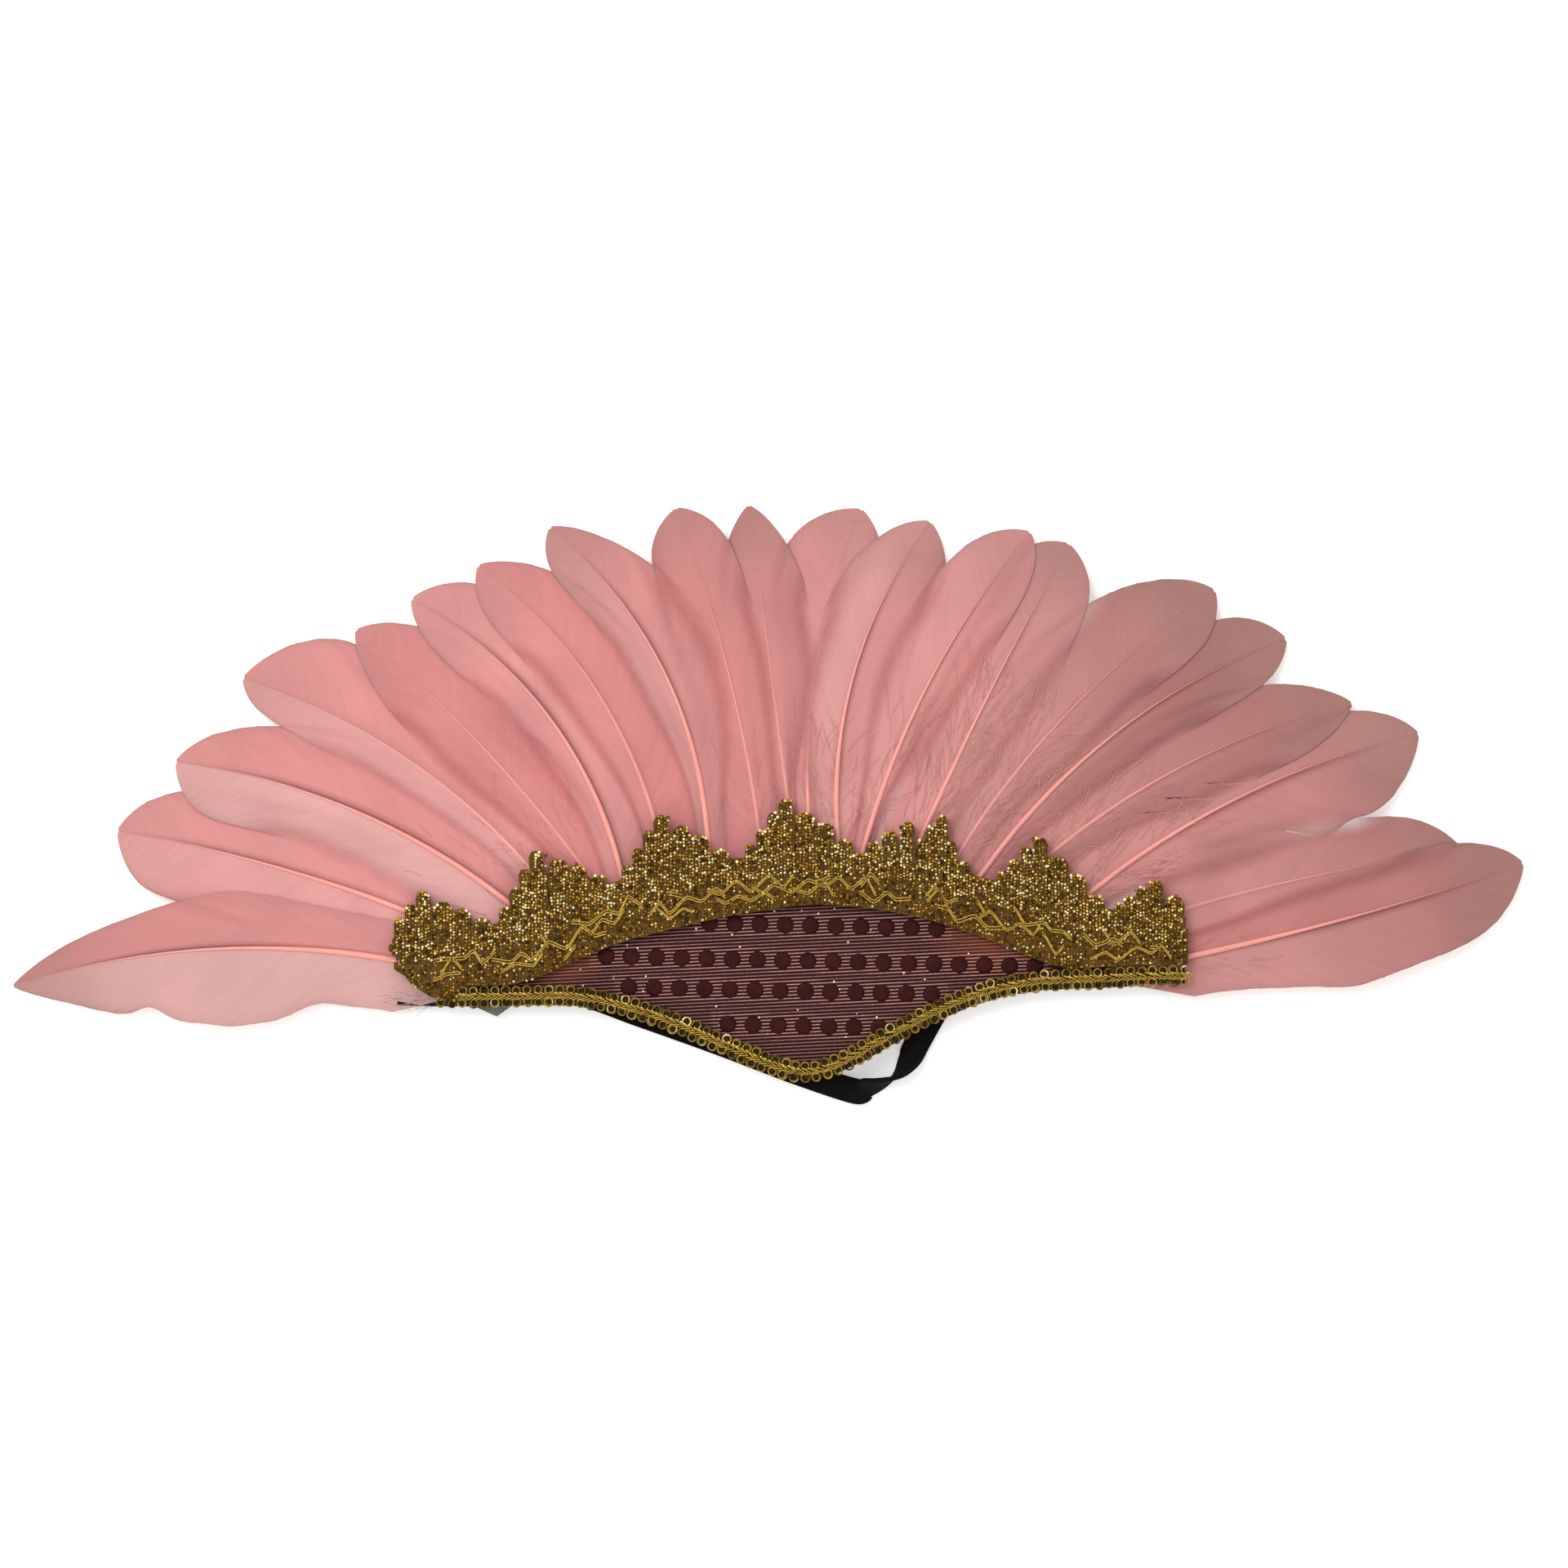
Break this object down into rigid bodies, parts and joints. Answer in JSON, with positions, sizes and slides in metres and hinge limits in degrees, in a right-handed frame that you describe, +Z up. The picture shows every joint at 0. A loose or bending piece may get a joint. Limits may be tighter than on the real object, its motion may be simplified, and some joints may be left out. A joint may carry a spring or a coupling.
{
  "type": "carnival feather headdress",
  "caption": "Low forehead crown of curled pink feathers on a stiff cloth base, with gold lace and braid trims and an elastic head band.",
  "frame": {"origin": "centre of the bounding box in X and Y, at the table the headdress lies on", "axes": "+X to the right end of the base as the picture shows it, +Y from the hem to the middle feather tips, +Z up from the table, out of the front of the headdress"},
  "size_m": [0.2986, 0.1184, 0.0089],
  "materials": {
    "felt": "matte black felt",
    "cloth": "burgundy lame with fine woven lines and sequin dots",
    "lace": "antique gold metallic lace",
    "braid": "pale gold metallic gimp braid",
    "elastic": "matte black woven elastic",
    "feather": "dyed pink goose feather, soft and matte"
  },
  "bodies": {
    "root": {"backing": "felt", "sequin_panel": "cloth", "crown_lace": "lace", "edge_braid": "braid", "elastic_band": "elastic", "feather_01": "feather", "feather_02": "feather", "feather_03": "feather", "feather_04": "feather", "feather_05": "feather", "feather_06": "feather", "feather_07": "feather", "feather_08": "feather", "feather_09": "feather", "feather_10": "feather", "feather_11": "feather", "feather_12": "feather", "feather_13": "feather", "feather_14": "feather", "feather_15": "feather", "feather_16": "feather", "feather_17": "feather", "feather_18": "feather", "feather_19": "feather", "feather_20": "feather"}
  },
  "joints": []
}
